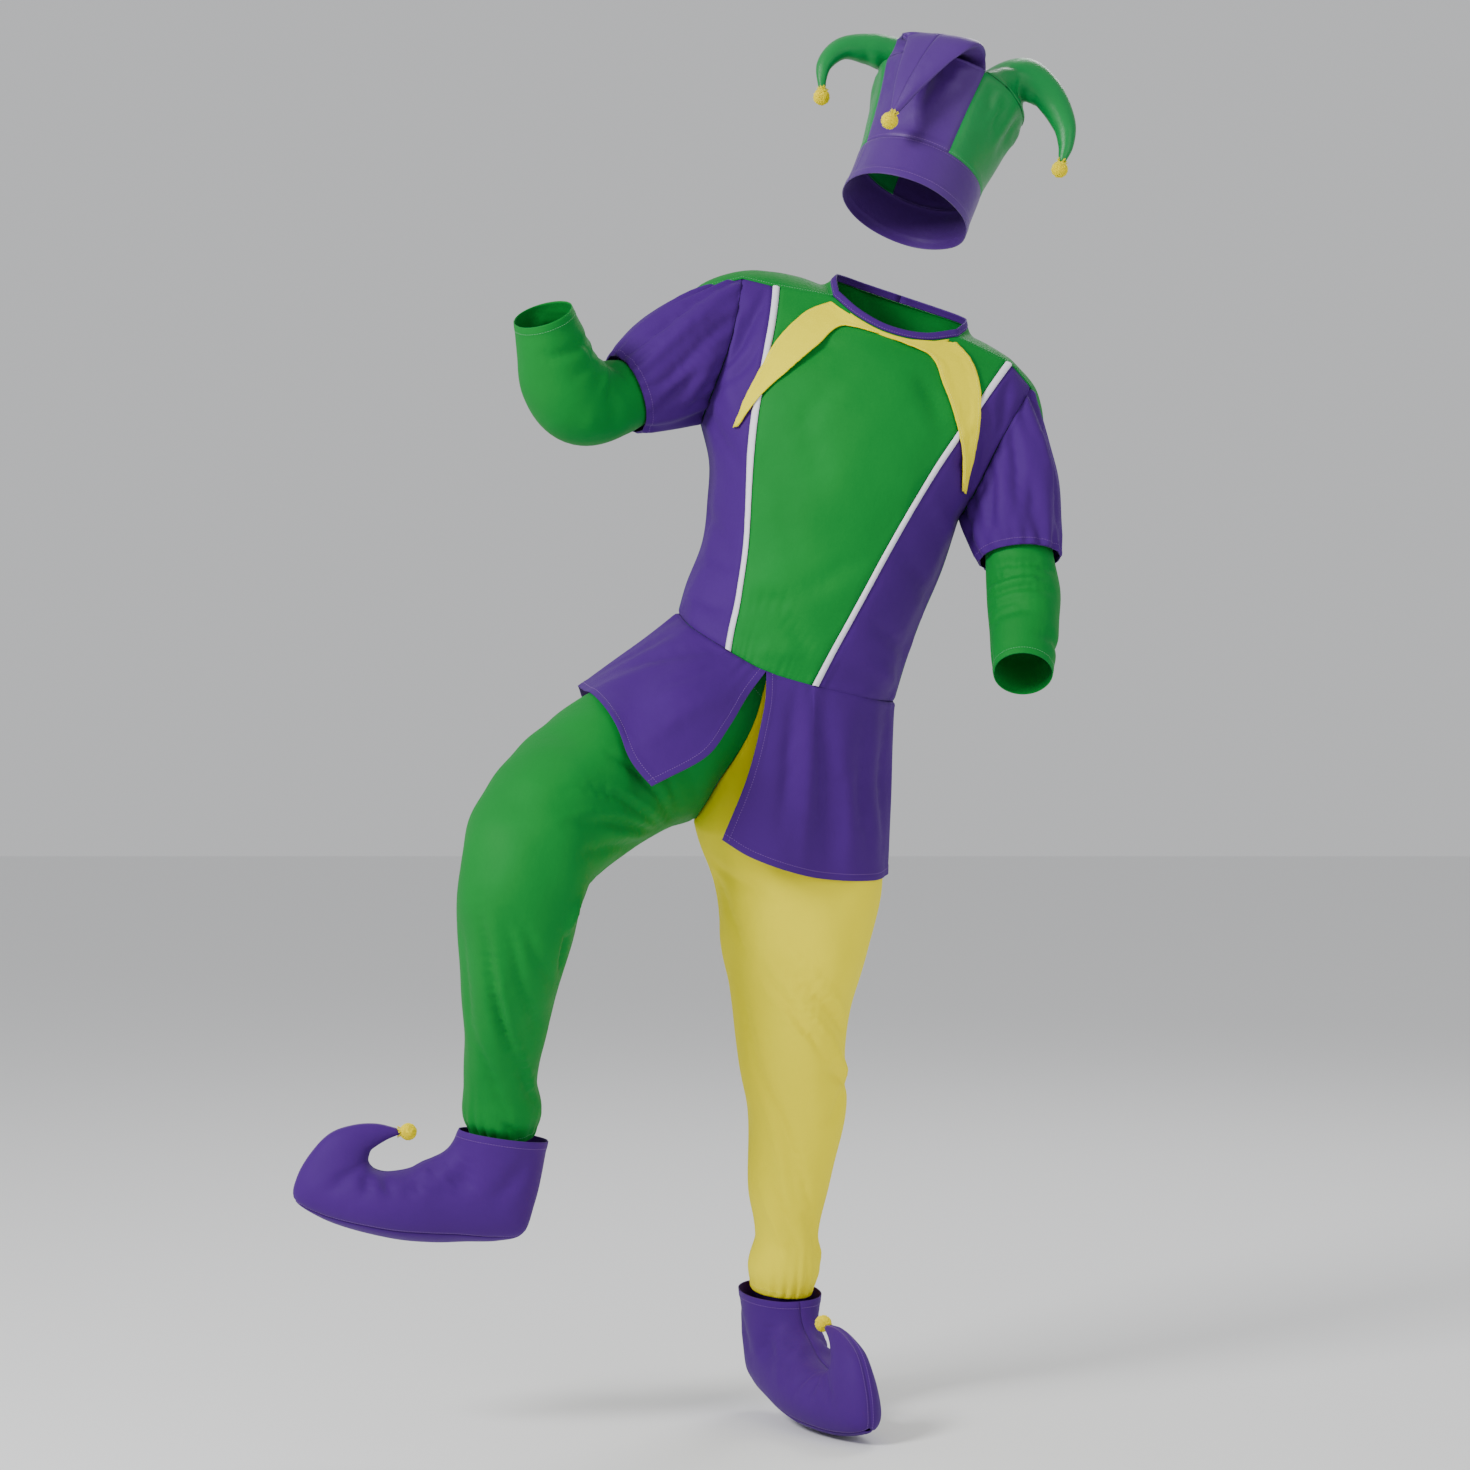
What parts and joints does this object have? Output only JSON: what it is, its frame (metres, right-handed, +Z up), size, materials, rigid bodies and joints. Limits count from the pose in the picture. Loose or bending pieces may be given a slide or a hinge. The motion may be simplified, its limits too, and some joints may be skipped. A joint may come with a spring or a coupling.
{
  "type": "jester costume",
  "caption": "Worn, empty jester costume: horned hat, puff-sleeved tunic with piped front, pointed collar and slit peplum, two-colour trousers and curled boot covers.",
  "frame": {"origin": "middle of the neck opening, where the wearer's shoulders carry the tunic", "axes": "+Z up, the costume's front faces -Y, +X to the wearer's left"},
  "size_m": [1.0397, 0.5254, 1.897],
  "materials": {
    "purple": "matt stretch satin",
    "green": "matt stretch satin",
    "yellow": "matt stretch satin",
    "white": "piping tape",
    "hat_purple": "satin",
    "hat_green": "satin",
    "pompom": "fuzzy yarn"
  },
  "bodies": {
    "root": {"front_side_right": "purple", "piping_right": "white", "front_centre": "green", "piping_left": "white", "front_side_left": "purple", "back": "green", "neck_binding": "purple", "collar_point_right": "yellow", "collar_point_left": "yellow", "sleeve_puff_right": "purple", "sleeve_puff_left": "purple", "sleeve_lower_right": "green", "sleeve_lower_left": "green", "peplum_front_right": "purple", "peplum_front_left": "purple", "peplum_back": "purple", "leg_right": "green", "leg_left": "yellow", "boot_outer_right": "purple", "boot_inner_right": "purple", "boot_sole_right": "purple", "boot_outer_left": "purple", "boot_inner_left": "purple", "boot_sole_left": "purple", "pompom_boot_right": "pompom", "pompom_boot_left": "pompom", "hat_band": "hat_purple", "crown_front": "hat_purple", "crown_left": "hat_green", "crown_back": "hat_purple", "crown_right": "hat_green", "horn_front": "hat_purple", "horn_left": "hat_green", "horn_back": "hat_purple", "horn_right": "hat_green", "pompom_hat_front": "pompom", "pompom_hat_left": "pompom", "pompom_hat_back": "pompom", "pompom_hat_right": "pompom"}
  },
  "joints": []
}
